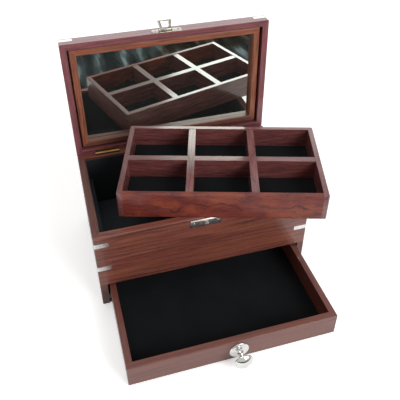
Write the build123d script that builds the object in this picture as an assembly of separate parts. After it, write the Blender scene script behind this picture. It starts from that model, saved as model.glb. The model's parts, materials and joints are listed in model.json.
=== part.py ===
from build123d import *
import os

# Wooden jewellery box with a mirror lid, a drawer and a lift-out tray, all sizes in mm.
# +X is the box's right, -Y its front, +Z up. The origin is the middle of the case's underside.
# The solids stand as the box is shown: lid open, drawer pulled out, tray laid across the case.

# Case
case_width = 254.0
case_depth = 154.0
case_height = 108.0
case_wall = 8.5
drawer_opening_height = 33.0
corner_round = 1.2
edge_round = 0.8

# Metal keys let into the mitred corners
key_leg = 16.0
key_thickness = 6.0
case_key_heights = (59.5, 95.5)
lid_key_depth = 12.0

# Case inside
bay_height = 31.0
floor_thickness = 2.5
felt_thickness = 0.8
lining_thickness = 1.0
lining_drop = 3.0
rest_width = 5.0
rest_height = 8.0
tray_sink = 0.5
base_thickness = 2.0
base_setback = 1.0
guide_height = 10.0
guide_setback = 3.0
guide_clearance = 0.3

# Drawer
drawer_side_gap = 2.0
drawer_back_gap = 2.5
drawer_top_gap = 0.4
drawer_lift = 0.1
drawer_wall = 7.2
drawer_bottom_thickness = 2.5
drawer_pull_out = 111.0

# Knob, turned on an axis square to the drawer front
knob_offset = 3.2
knob_rise = 12.8
backplate_radius = 11.0
backplate_thickness = 1.5
backplate_round = 0.9
knob_foot_radius = 4.4
knob_waist_radius = 2.9
knob_head_radius = 10.4
knob_waist_reach = 6.0
knob_rim_reach = 14.0
knob_rim_thickness = 1.6
knob_reach = 20.5
knob_foot_flow = (-0.6, 1)
knob_rim_flow = (1, 0.35)
knob_screw_radius = 1.6
knob_screw_head_radius = 3.4
knob_screw_head_height = 1.8
knob_screw_bite = 8.0

# Lid, in its own frame while it stands upright: X right, Y from its rim plane to its outer face,
# Z from its hinge edge to its front edge
lid_open_angle = 91.0
lid_thickness = 17.0
lid_rim = 7.5
top_panel_thickness = 3.2
mirror_card_thickness = 0.5
mirror_thickness = 1.8
moulding_gap = 2.0
moulding_width = 8.0
moulding_recess = 4.0
moulding_seat = 4.0
moulding_round = 1.2

# Butt hinges
hinge_inset = 39.0
hinge_length = 31.0
hinge_leaf_width = 5.6
hinge_leaf_thickness = 0.9
hinge_pin_out = 0.2
hinge_pin_drop = 3.0
hinge_pin_radius = 1.0
hinge_knuckle_radius = 1.9
hinge_running_gap = 0.05
hinge_knuckle_gap = 0.15
hinge_mortise_gap = 0.4
hinge_screw_spacing = 20.0
hinge_screw_radius = 0.8
hinge_screw_head_radius = 1.5
hinge_screw_head_height = 0.5
hinge_screw_length = 6.0

# Catch: a plate with a turning loop on the lid, and a hook plate on the case
catch_offset = -0.8
catch_plate_width = 36.0
catch_plate_height = 10.6
catch_plate_thickness = 0.8
catch_plate_round = 4.5
catch_plate_corner = 0.6
lid_plate_setback = 0.3
hook_plate_drop = 1.8
hook_lip_reach = 1.4
hook_lip_height = 1.1
catch_nail_spacing = 28.0
catch_nail_radius = 0.6
catch_nail_head_radius = 1.4
catch_nail_head_height = 0.7
catch_nail_length = 6.0
hook_width = 5.0
hook_thickness = 1.1
hook_height = 3.4
hook_drop = 3.6
catch_pin_radius = 0.6
catch_knuckle_radius = 1.3
catch_lug_width = 2.2
catch_knuckle_gap = 0.2
catch_clearance = 0.3
catch_running_gap = 0.05
catch_pivot_depth = 4.0
loop_shift = -1.0
loop_lean = 50.0
loop_width = 13.0
loop_end_width = 17.7
loop_rail = 3.4
loop_bar = 1.4
loop_thickness = 1.2

# Tray, and how it lies on the case
tray_side_clearance = 2.0
tray_end_clearance = 0.5
tray_height = 32.4
tray_wall = 6.0
tray_corner_round = 2.0
tray_bottom_rise = 2.0
tray_bottom_thickness = 4.0
tray_felt_thickness = 1.0
tray_felt_clearance = 0.2
divider_thickness = 8.5
divider_drop = 0.4
divider_spacing = 72.4
tray_x = 35.8
tray_y = -19.2
tray_turn = -17.2

half_width = case_width / 2
front_y = -case_depth / 2
back_y = case_depth / 2
inner_x = half_width - case_wall
inner_front_y = front_y + case_wall
inner_back_y = back_y - case_wall
floor_top = bay_height + floor_thickness
felt_top = floor_top + felt_thickness
lining_top = case_height - lining_drop
lined_x = inner_x - lining_thickness
lined_front_y = inner_front_y + lining_thickness
lined_back_y = inner_back_y - lining_thickness
tray_width = 2 * (lined_x - tray_side_clearance)
tray_depth = lined_back_y - lined_front_y - 2 * tray_end_clearance
tray_seat_height = case_height - tray_sink - tray_height
drawer_width = 2 * (inner_x - drawer_side_gap)
drawer_length = inner_back_y - front_y - drawer_back_gap
drawer_height = bay_height - base_thickness - drawer_lift - drawer_top_gap

parts = {}


def block(x0, x1, y0, y1, z0, z1):
    """A box between two corners."""
    middle = Pos((x0 + x1) / 2, (y0 + y1) / 2, (z0 + z1) / 2)
    return middle * Box(x1 - x0, y1 - y0, z1 - z0)


def prism(points, z0, z1):
    """An upright prism over a plan outline."""
    outline = make_face(Polyline(*points, close=True))
    return extrude(Pos(0, 0, z0) * outline, z1 - z0, dir=(0, 0, 1))


def rod(radius, start, end):
    """A round bar from one point to another."""
    line = Vector(*end) - Vector(*start)
    return extrude(Plane(start, z_dir=line) * Circle(radius), line.length)


def one(shape):
    """The single solid that a cut or a join left."""
    return shape.solids()[0]


def edges_on(shape, axis, place):
    """The straight edges along an axis whose middles lie at a given place."""
    found = []
    for edge in shape.edges().filter_by(axis):
        centre = edge.center()
        if place(centre):
            found.append(edge)
    return found


def mitre_plans(x0, x1, y0, y1, wall):
    """Plan outlines of four mitred walls, keyed by side, around an outer rectangle."""
    return {
        "front": ((x0, y0), (x1, y0), (x1 - wall, y0 + wall), (x0 + wall, y0 + wall)),
        "back": ((x0, y1), (x0 + wall, y1 - wall), (x1 - wall, y1 - wall), (x1, y1)),
        "left": ((x0, y0), (x0 + wall, y0 + wall), (x0 + wall, y1 - wall), (x0, y1)),
        "right": ((x1, y0), (x1, y1), (x1 - wall, y1 - wall), (x1 - wall, y0 + wall)),
    }


def corner_key(corner_x, corner_y, z, leg):
    """A flat triangular key let into a corner from outside."""
    inward_x = -leg if corner_x > 0 else leg
    inward_y = -leg if corner_y > 0 else leg
    points = ((corner_x, corner_y), (corner_x + inward_x, corner_y), (corner_x, corner_y + inward_y))
    return prism(points, z - key_thickness / 2, z + key_thickness / 2)


def countersunk(length, shank, head, head_height):
    """A flat-headed screw along -Z with its head flush at the origin."""
    return rod(head, (0, 0, -head_height), (0, 0, 0)) + rod(shank, (0, 0, -length), (0, 0, 0))


def domed_nail():
    """A round-headed nail along -Z whose head sits on the plane through the origin."""
    rise = catch_nail_head_height
    ball = (catch_nail_head_radius**2 + rise**2) / (2 * rise)
    dome = Pos(0, 0, rise - ball) * Sphere(ball)
    reach = 2 * ball
    dome &= block(-reach, reach, -reach, reach, 0, reach)
    return dome + rod(catch_nail_radius, (0, 0, -catch_nail_length), (0, 0, rise / 2))


# Case panels: one rounded shell, split along its mitres
def make_case():
    outside = block(-half_width, half_width, front_y, back_y, 0, case_height)
    outside = fillet(outside.edges().filter_by(Axis.Z), corner_round)
    outside = fillet(outside.faces().sort_by(Axis.Z)[-1].edges(), edge_round)
    shell = outside - block(-inner_x, inner_x, inner_front_y, inner_back_y, 0, case_height)
    shell -= block(-inner_x, inner_x, front_y, inner_front_y, 0, drawer_opening_height)

    keys = []
    for corner_x in (-half_width, half_width):
        for corner_y in (front_y, back_y):
            for z in case_key_heights:
                keys.append(one(outside & corner_key(corner_x, corner_y, z, key_leg)))
    key_group = Compound(keys)

    plans = mitre_plans(-half_width, half_width, front_y, back_y, case_wall)
    for side in ("front", "back", "left", "right"):
        foot_z = drawer_opening_height if side == "front" else 0
        reach = prism(plans[side], foot_z, case_height)
        if side in ("left", "right"):
            inner, outer = (-inner_x, -half_width) if side == "left" else (inner_x, half_width)
            foot = min(inner, outer), max(inner, outer)
            reach += block(*foot, front_y, inner_front_y, 0, drawer_opening_height)
        panel = shell & reach
        for key in keys:
            panel -= key
        parts[f"case_{side}_panel"] = one(panel)
    parts["case_corner_keys"] = key_group


# Compartment over the drawer: floor, felt, wall linings and the strips that carry the tray
def make_compartment():
    span_y = (inner_front_y, inner_back_y)
    parts["compartment_floor"] = block(-inner_x, inner_x, *span_y, bay_height, floor_top)
    parts["compartment_felt"] = block(-inner_x, inner_x, *span_y, floor_top, felt_top)

    height = (felt_top, lining_top)
    parts["lining_front"] = block(-inner_x, inner_x, inner_front_y, lined_front_y, *height)
    parts["lining_back"] = block(-inner_x, inner_x, lined_back_y, inner_back_y, *height)
    parts["lining_left"] = block(-inner_x, -lined_x, lined_front_y, lined_back_y, *height)
    parts["lining_right"] = block(lined_x, inner_x, lined_front_y, lined_back_y, *height)

    rest = (lined_front_y, lined_back_y, tray_seat_height - rest_height, tray_seat_height)
    parts["tray_rest_left"] = block(-lined_x, -lined_x + rest_width, *rest)
    parts["tray_rest_right"] = block(lined_x - rest_width, lined_x, *rest)


# Drawer bay: thin base and the strips that guide the drawer's sides
def make_bay():
    base_front_y = front_y + base_setback
    parts["base_panel"] = block(-inner_x, inner_x, base_front_y, inner_back_y, 0, base_thickness)
    guide_x = drawer_width / 2 + guide_clearance
    guide = (front_y + guide_setback, inner_back_y, base_thickness, base_thickness + guide_height)
    parts["drawer_guide_left"] = block(-inner_x, -guide_x, *guide)
    parts["drawer_guide_right"] = block(guide_x, inner_x, *guide)


# Drawer, pulled out
drawer_front_y = front_y - drawer_pull_out
drawer_back_y = drawer_front_y + drawer_length
drawer_floor_z = base_thickness + drawer_lift
drawer_top_z = drawer_floor_z + drawer_height
drawer_felt_z = drawer_floor_z + drawer_bottom_thickness


def make_drawer():
    x = drawer_width / 2
    in_x = x - drawer_wall
    in_front_y = drawer_front_y + drawer_wall
    in_back_y = drawer_back_y - drawer_wall
    outside = block(-x, x, drawer_front_y, drawer_back_y, drawer_floor_z, drawer_top_z)
    front_corners = edges_on(outside, Axis.Z, lambda c: c.Y < in_front_y)
    outside = fillet(front_corners, edge_round)
    outside = fillet(outside.faces().sort_by(Axis.Z)[-1].edges(), edge_round)
    shell = outside - block(-in_x, in_x, in_front_y, in_back_y, drawer_floor_z, drawer_top_z)

    height = (drawer_floor_z, drawer_top_z)
    screw = knob_screw()
    front = shell & block(-x, x, drawer_front_y, in_front_y, *height)
    parts["drawer_front"] = one(front - screw)
    parts["drawer_left"] = one(shell & block(-x, -in_x, in_front_y, drawer_back_y, *height))
    parts["drawer_right"] = one(shell & block(in_x, x, in_front_y, drawer_back_y, *height))
    parts["drawer_back"] = one(shell & block(-in_x, in_x, in_back_y, drawer_back_y, *height))
    inside = (-in_x, in_x, in_front_y, in_back_y)
    parts["drawer_bottom"] = block(*inside, drawer_floor_z, drawer_felt_z)
    parts["drawer_felt"] = block(*inside, drawer_felt_z, drawer_felt_z + felt_thickness)


def on_knob_axis(shape):
    """Turns a piece built along +Z so that it stands out from the drawer front."""
    return Pos(knob_offset, drawer_front_y, drawer_floor_z + knob_rise) * Rot(90, 0, 0) * shape


def knob_screw():
    inner = -drawer_wall
    head = rod(knob_screw_head_radius, (0, 0, inner - knob_screw_head_height), (0, 0, inner))
    shank = rod(knob_screw_radius, (0, 0, inner), (0, 0, backplate_thickness + knob_screw_bite))
    return one(on_knob_axis(head + shank))


def make_knob():
    plate = extrude(Circle(backplate_radius), backplate_thickness)
    rim = plate.faces().sort_by(Axis.Z)[-1].edges()
    plate = fillet(rim, backplate_round)

    foot = (knob_foot_radius, backplate_thickness)
    waist = (knob_waist_radius, knob_waist_reach)
    rim_back = (knob_head_radius, knob_rim_reach)
    rim_front = (knob_head_radius, knob_rim_reach + knob_rim_thickness)
    crown = (0, knob_reach)
    stem = Spline(foot, waist, rim_back, tangents=(knob_foot_flow, knob_rim_flow))
    dome = TangentArc(crown, rim_front, tangent=(1, 0))
    outline = Polyline(crown, (0, backplate_thickness), foot)
    profile = make_face([outline, stem, Line(rim_back, rim_front), dome])
    turned = revolve(Plane.XZ * profile, Axis.Z)

    screw = knob_screw()
    parts["knob_backplate"] = one(on_knob_axis(plate) - screw)
    parts["knob"] = one(on_knob_axis(turned) - screw)
    parts["knob_screw"] = screw


# Hinge pins, which the case leaves hold; the lid turns on them
pin_y = back_y + hinge_pin_out
pin_z = case_height - hinge_pin_drop
lid_lean = lid_open_angle - 90
lid_place = Pos(0, pin_y, pin_z) * Rot(-lid_lean, 0, 0) * Pos(0, hinge_pin_drop, hinge_pin_out)
hinge_centres = (-half_width + hinge_inset, half_width - hinge_inset)


def knuckle_spans(centre):
    """X spans of a hinge's three knuckles, from left to right."""
    left = centre - hinge_length / 2
    third = hinge_length / 3
    gap = hinge_knuckle_gap / 2
    spans = []
    for index in range(3):
        spans.append((left + index * third + gap, left + (index + 1) * third - gap))
    return spans


def leaf_screws(centre):
    """Two countersunk screws along -Z, placed across a leaf of a hinge."""
    screw = countersunk(
        hinge_screw_length, hinge_screw_radius, hinge_screw_head_radius, hinge_screw_head_height
    )
    half = hinge_screw_spacing / 2
    return [Pos(centre + side * half, 0, 0) * screw for side in (-1, 1)]


def make_case_hinges():
    panel = parts["case_back_panel"]
    pins = []
    screws = []
    leaf_z = case_height - hinge_leaf_thickness
    leaf_y = back_y - hinge_leaf_width
    screw_y = back_y - hinge_leaf_width / 2
    for side, centre in zip(("left", "right"), hinge_centres):
        x0 = centre - hinge_length / 2
        x1 = centre + hinge_length / 2
        knuckles = knuckle_spans(centre)
        leaf = block(x0, x1, leaf_y, back_y, leaf_z, case_height)
        for span in (knuckles[0], knuckles[-1]):
            leaf += rod(hinge_knuckle_radius, (span[0], pin_y, pin_z), (span[1], pin_y, pin_z))
            leaf += block(*span, back_y - hinge_mortise_gap, pin_y, pin_z, case_height)
        pin = rod(hinge_pin_radius, (x0, pin_y, pin_z), (x1, pin_y, pin_z))
        here = [Pos(0, screw_y, case_height) * screw for screw in leaf_screws(centre)]

        mortise_y = pin_y - hinge_knuckle_radius - hinge_mortise_gap
        mortise_z = pin_z - hinge_knuckle_radius - hinge_mortise_gap
        gap = hinge_mortise_gap / 2
        panel -= block(x0 - gap, x1 + gap, mortise_y, back_y, mortise_z, leaf_z)
        panel -= block(x0, x1, leaf_y, back_y, leaf_z, case_height)
        leaf -= pin
        for screw in here:
            panel -= screw
            leaf -= screw
        parts[f"hinge_{side}_case_leaf"] = one(leaf)
        pins.append(pin)
        screws += here
    parts["case_back_panel"] = one(panel)
    parts["hinge_pins"] = Compound([one(pin) for pin in pins])
    parts["case_hinge_screws"] = Compound([one(screw) for screw in screws])


# Lid rim, keys and panel, in the lid's upright frame
lid_inner_x = half_width - lid_rim
lid_inner_low = lid_rim
lid_inner_high = case_depth - lid_rim
panel_back = lid_thickness - top_panel_thickness
card_back = panel_back - mirror_card_thickness
glass_face = card_back - mirror_thickness

# Standing open, the lid has its hinge edge low: the front of a plan is the lid's back
lid_sides = {"front": "back", "back": "front", "left": "left", "right": "right"}


def frame_piece(plan, y0, y1):
    """A prism over an outline in the lid's plane, between two depths."""
    return Rot(90, 0, 0) * prism(plan, -y1, -y0)


def make_lid_rim():
    outside = block(-half_width, half_width, 0, lid_thickness, 0, case_depth)
    outside = fillet(outside.edges().filter_by(Axis.Y), corner_round)
    outside = fillet(outside.faces().sort_by(Axis.Y)[-1].edges(), edge_round)
    opening = block(-lid_inner_x, lid_inner_x, 0, lid_thickness, lid_inner_low, lid_inner_high)
    rim = outside - opening

    keys = []
    for corner_x in (-half_width, half_width):
        for low, corner_z in ((True, 0), (False, case_depth)):
            inward_x = -key_leg if corner_x > 0 else key_leg
            inward_z = key_leg if low else -key_leg
            beside = (corner_x + inward_x, corner_z)
            along = (corner_x, corner_z + inward_z)
            outline = ((corner_x, corner_z), beside, along)
            half = key_thickness / 2
            keys.append(one(rim & frame_piece(outline, lid_key_depth - half, lid_key_depth + half)))

    plans = mitre_plans(-half_width, half_width, 0, case_depth, lid_rim)
    for side, name in lid_sides.items():
        rail = rim & frame_piece(plans[side], 0, lid_thickness)
        for key in keys:
            rail -= key
        parts[f"lid_{name}_rail"] = one(rail)
    parts["lid_corner_keys"] = Compound(keys)
    parts["lid_top_panel"] = block(
        -lid_inner_x, lid_inner_x, panel_back, lid_thickness, lid_inner_low, lid_inner_high
    )


# Mirror: glass on a card, held by a mitred moulding glued to the top panel
def make_mirror():
    outer = lid_rim + moulding_gap
    inner = outer + moulding_width
    seat = outer + moulding_seat

    def plate(margin, y0, y1):
        return block(-half_width + margin, half_width - margin, y0, y1, margin, case_depth - margin)

    frame = plate(outer, moulding_recess, panel_back)
    frame = fillet(frame.faces().sort_by(Axis.Y)[0].edges(), moulding_round)
    frame -= plate(inner, moulding_recess, panel_back)
    inner_edges = frame.faces().sort_by(Axis.Y)[0].inner_wires()[0].edges()
    frame = fillet(inner_edges, moulding_round)
    frame -= plate(seat, glass_face, panel_back)

    reach = mitre_plans(
        -half_width + outer, half_width - outer, outer, case_depth - outer, moulding_width
    )
    for side, name in lid_sides.items():
        piece = frame & frame_piece(reach[side], moulding_recess, panel_back)
        parts[f"mirror_moulding_{name}"] = one(piece)
    parts["mirror_glass"] = plate(seat, glass_face, card_back)
    parts["mirror_card"] = plate(seat, card_back, panel_back)


def make_lid_hinges():
    rail = parts["lid_back_rail"]
    local_pin_y = -hinge_pin_drop
    local_pin_z = -hinge_pin_out
    tail_z = local_pin_z - hinge_knuckle_radius
    screws = []
    for side, centre in zip(("left", "right"), hinge_centres):
        x0 = centre - hinge_length / 2
        x1 = centre + hinge_length / 2
        middle = knuckle_spans(centre)[1]
        leaf = block(x0, x1, 0, hinge_leaf_thickness, 0, hinge_leaf_width)
        leaf += block(*middle, 0, hinge_leaf_thickness, tail_z, hinge_leaf_width)
        leaf += block(*middle, local_pin_y, hinge_leaf_thickness, tail_z, tail_z + hinge_leaf_thickness)
        start = (middle[0], local_pin_y, local_pin_z)
        end = (middle[1], local_pin_y, local_pin_z)
        leaf += rod(hinge_knuckle_radius, start, end)
        leaf -= rod(hinge_pin_radius + hinge_running_gap, start, end)
        turn = Pos(0, 0, hinge_leaf_width / 2) * Rot(90, 0, 0)
        here = [turn * screw for screw in leaf_screws(centre)]
        rail -= block(x0, x1, 0, hinge_leaf_thickness, 0, hinge_leaf_width)
        for screw in here:
            rail -= screw
            leaf -= screw
        parts[f"hinge_{side}_lid_leaf"] = one(leaf)
        screws += here
    parts["lid_back_rail"] = one(rail)
    parts["lid_hinge_screws"] = Compound([one(screw) for screw in screws])


# Catch: plate, lugs and pin on the lid's front edge, with the loop that turns on the pin
catch_face = case_depth + catch_plate_thickness
pivot_rise = catch_knuckle_radius + catch_clearance
pivot_z = catch_face + pivot_rise
loop_x = catch_offset + loop_shift
nail_places = (catch_offset - catch_nail_spacing / 2, catch_offset + catch_nail_spacing / 2)


def make_lid_catch():
    half = catch_plate_width / 2
    x0, x1 = catch_offset - half, catch_offset + half
    low = lid_plate_setback
    high = low + catch_plate_height
    plate = block(x0, x1, low, high, case_depth, catch_face)
    far_corners = edges_on(plate, Axis.Z, lambda c: c.Y > (low + high) / 2)
    plate = fillet(far_corners, catch_plate_round)
    near_corners = edges_on(plate, Axis.Z, lambda c: c.Y < (low + high) / 2)
    plate = fillet(near_corners, catch_plate_corner)

    lug_start = loop_width / 2 + catch_knuckle_gap
    lug_end = lug_start + catch_lug_width
    pivot_low = catch_pivot_depth - catch_knuckle_radius
    pivot_high = catch_pivot_depth + catch_knuckle_radius
    for side in (-1, 1):
        start, end = sorted((loop_x + side * lug_start, loop_x + side * lug_end))
        eye = (catch_pivot_depth, pivot_z)
        plate += rod(catch_knuckle_radius, (start, *eye), (end, *eye))
        plate += block(start, end, pivot_low, pivot_high, catch_face, pivot_z)
    pin = rod(
        catch_pin_radius,
        (loop_x - lug_end, catch_pivot_depth, pivot_z),
        (loop_x + lug_end, catch_pivot_depth, pivot_z),
    )
    nails = []
    for x in nail_places:
        nails.append(one(Pos(x, (low + high) / 2, catch_face) * domed_nail()))
    plate -= pin
    rail = parts["lid_front_rail"]
    for nail in nails:
        plate -= nail
        rail -= nail
    parts["lid_front_rail"] = one(rail)
    parts["catch_lid_plate"] = one(plate)
    parts["catch_pin"] = one(pin)
    parts["catch_lid_nails"] = Compound(nails)


# The loop's end bar passes under the hook when the lid is shut, so its reach follows the hook
def make_loop():
    base = loop_width / 2
    end = loop_end_width / 2
    closed_drop = catch_pivot_depth + hook_plate_drop + hook_drop + hook_thickness
    window_end = closed_drop + catch_clearance
    length = window_end + loop_bar
    neck = catch_knuckle_radius + catch_knuckle_gap
    slope = (end - base) / (length - neck)
    window_start = catch_knuckle_radius
    outline = ((-base, 0), (base, 0), (base, neck), (end, length), (-end, length), (-base, neck))
    start_x = base - loop_rail
    end_x = base + slope * (window_end - neck) - loop_rail
    window = (
        (-start_x, window_start),
        (start_x, window_start),
        (end_x, window_end),
        (-end_x, window_end),
    )
    half = loop_thickness / 2
    loop = frame_piece(outline, -half, half) + rod(catch_knuckle_radius, (-base, 0, 0), (base, 0, 0))
    loop -= frame_piece(window, -loop_thickness, loop_thickness)
    loop -= rod(catch_pin_radius + catch_running_gap, (-end, 0, 0), (end, 0, 0))
    parts["catch_loop"] = one(Pos(loop_x, catch_pivot_depth, pivot_z) * Rot(-loop_lean, 0, 0) * loop)


# Hook plate on the case front, under the catch
def make_hook_plate():
    half = catch_plate_width / 2
    x0, x1 = catch_offset - half, catch_offset + half
    top = case_height - hook_plate_drop
    low = top - catch_plate_height
    face = front_y - catch_plate_thickness
    plate = block(x0, x1, face, front_y, low, top)
    plate += block(x0, x1, face - hook_lip_reach, front_y, top - hook_lip_height, top)
    hook = (catch_offset - hook_width / 2, catch_offset + hook_width / 2)
    hook_top = top - hook_drop
    inside = face - catch_knuckle_radius - catch_clearance - loop_thickness / 2 - catch_clearance
    tip = inside - hook_thickness
    plate += block(*hook, tip, face, hook_top - hook_thickness, hook_top)
    plate += block(*hook, tip, inside, hook_top - hook_height, hook_top)
    nails = []
    for x in nail_places:
        nails.append(one(Pos(x, face, (low + top) / 2) * Rot(90, 0, 0) * domed_nail()))
    panel = parts["case_front_panel"]
    for nail in nails:
        plate -= nail
        panel -= nail
    parts["case_front_panel"] = one(panel)
    parts["catch_hook_plate"] = one(plate)
    parts["catch_hook_nails"] = Compound(nails)


# Tray: in its own frame, its middle over the origin and its underside at zero
def make_tray():
    x = tray_width / 2
    y = tray_depth / 2
    in_x = x - tray_wall
    in_y = y - tray_wall
    outside = block(-x, x, -y, y, 0, tray_height)
    outside = fillet(outside.edges().filter_by(Axis.Z), tray_corner_round)
    outside = fillet(outside.faces().sort_by(Axis.Z)[-1].edges(), edge_round)
    shell = outside - block(-in_x, in_x, -in_y, in_y, 0, tray_height)
    low = tray_bottom_rise + tray_bottom_thickness
    tray = {}
    tray["tray_left"] = shell & block(-x, -in_x, -y, y, 0, tray_height)
    tray["tray_right"] = shell & block(in_x, x, -y, y, 0, tray_height)
    tray["tray_front"] = shell & block(-in_x, in_x, -y, -in_y, 0, tray_height)
    tray["tray_back"] = shell & block(-in_x, in_x, in_y, y, 0, tray_height)
    tray["tray_bottom"] = block(-in_x, in_x, -in_y, in_y, tray_bottom_rise, low)

    half = divider_thickness / 2
    cross_x = divider_spacing / 2
    top = tray_height - divider_drop
    middle = (low + top) / 2
    long_divider = block(-in_x, in_x, -half, half, low, top)
    spans = {"left": (-cross_x - half, -cross_x + half), "right": (cross_x - half, cross_x + half)}
    for side, span in spans.items():
        cross = block(*span, -in_y, in_y, low, top)
        tray[f"tray_cross_divider_{side}"] = cross - block(*span, -half, half, low, middle)
        long_divider -= block(*span, -half, half, middle, top)
    tray["tray_long_divider"] = long_divider
    for name, piece in tray.items():
        parts[name] = one(tray_place * piece)

    pads = []
    gap = tray_felt_clearance
    felt = (low, low + tray_felt_thickness)
    columns = (-in_x, spans["left"][0]), (spans["left"][1], spans["right"][0]), (spans["right"][1], in_x)
    rows = (-in_y, -half), (half, in_y)
    for x0, x1 in columns:
        for y0, y1 in rows:
            pads.append(tray_place * block(x0 + gap, x1 - gap, y0 + gap, y1 - gap, *felt))
    parts["tray_felts"] = Compound([one(pad) for pad in pads])


tray_place = Pos(tray_x, tray_y, case_height) * Rot(0, 0, tray_turn)

make_case()
make_compartment()
make_bay()
make_drawer()
make_knob()
make_case_hinges()
make_hook_plate()
make_tray()
standing = set(parts)
make_lid_rim()
make_mirror()
make_lid_hinges()
make_lid_catch()
make_loop()
for name in set(parts) - standing:
    parts[name] = lid_place * parts[name]

catch_pin_place = (lid_place * Pos(0, catch_pivot_depth, pivot_z)).position
print("hinge pins: y", round(pin_y, 3), "z", round(pin_z, 3))
print("catch pin: y", round(catch_pin_place.Y, 3), "z", round(catch_pin_place.Z, 3))

os.makedirs("parts", exist_ok=True)
for name, shape in parts.items():
    export_step(shape, f"parts/{name}.step")
print(len(parts), "nodes")
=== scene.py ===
import json
import math

import bpy
from mathutils import Matrix, Vector

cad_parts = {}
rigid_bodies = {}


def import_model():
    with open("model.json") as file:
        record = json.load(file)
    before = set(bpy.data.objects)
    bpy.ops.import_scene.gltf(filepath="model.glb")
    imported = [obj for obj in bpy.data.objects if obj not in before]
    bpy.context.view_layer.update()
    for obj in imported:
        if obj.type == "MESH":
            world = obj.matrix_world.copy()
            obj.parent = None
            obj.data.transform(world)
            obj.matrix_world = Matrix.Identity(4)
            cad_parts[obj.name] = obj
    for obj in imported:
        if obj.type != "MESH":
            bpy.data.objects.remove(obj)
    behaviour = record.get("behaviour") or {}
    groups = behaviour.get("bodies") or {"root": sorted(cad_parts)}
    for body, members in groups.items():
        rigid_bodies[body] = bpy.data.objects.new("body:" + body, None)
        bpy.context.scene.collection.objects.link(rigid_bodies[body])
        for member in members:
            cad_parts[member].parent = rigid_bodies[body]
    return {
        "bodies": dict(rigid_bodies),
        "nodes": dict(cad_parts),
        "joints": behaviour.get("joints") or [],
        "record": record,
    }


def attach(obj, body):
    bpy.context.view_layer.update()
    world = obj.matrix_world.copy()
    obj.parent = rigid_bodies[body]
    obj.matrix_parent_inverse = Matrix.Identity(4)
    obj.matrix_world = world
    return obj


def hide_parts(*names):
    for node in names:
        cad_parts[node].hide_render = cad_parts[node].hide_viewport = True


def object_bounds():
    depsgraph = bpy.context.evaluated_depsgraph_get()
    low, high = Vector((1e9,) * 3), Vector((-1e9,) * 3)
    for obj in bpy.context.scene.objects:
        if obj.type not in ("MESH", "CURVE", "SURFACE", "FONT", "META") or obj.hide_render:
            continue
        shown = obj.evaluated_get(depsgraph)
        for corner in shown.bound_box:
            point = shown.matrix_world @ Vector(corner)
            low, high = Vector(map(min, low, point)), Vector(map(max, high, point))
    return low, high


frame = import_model()
nodes = frame["nodes"]
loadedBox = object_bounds()
print("frame loaded:", len(nodes), "nodes")

metresPerMm = 0.001
trayTurn = math.radians(-17.2)  # the tray lies askew on the case
lidLean = math.radians(1.0)  # the open lid leans back past upright
loopLean = math.radians(50.0)  # and the catch loop has dropped back from straight out


# Colours and nodes

def linearColour(hexText):
    # sRGB hex to the linear values that a shader takes
    channels = []
    for start in (1, 3, 5):
        value = int(hexText[start:start + 2], 16) / 255
        channels.append(value / 12.92 if value <= 0.04045 else ((value + 0.055) / 1.055) ** 2.4)
    return (*channels, 1.0)


def addNode(tree, kind, settings=None, links=None):
    # one node with its settings and what feeds it; a settings key is a property or an input
    node = tree.nodes.new(kind)
    for key, value in (settings or {}).items():
        if isinstance(key, str) and key in node.bl_rna.properties:
            setattr(node, key, value)
        else:
            node.inputs[key].default_value = value
    for key, source in (links or {}).items():
        tree.links.new(source, node.inputs[key])
    return node


def startMaterial(name):
    material = bpy.data.materials.new(name)
    material.use_nodes = True
    tree = material.node_tree
    tree.nodes.clear()
    output = tree.nodes.new("ShaderNodeOutputMaterial")
    return material, tree, output


def addRamp(tree, factor, stops):
    # a colour ramp from a list of (place, hex colour)
    ramp = addNode(tree, "ShaderNodeValToRGB", links={"Fac": factor})
    elements = ramp.color_ramp.elements
    while len(elements) < len(stops):
        elements.new(0.5)
    for element, (place, colour) in zip(elements, stops):
        element.position = place
        element.color = linearColour(colour)
    return ramp.outputs["Color"]


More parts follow.
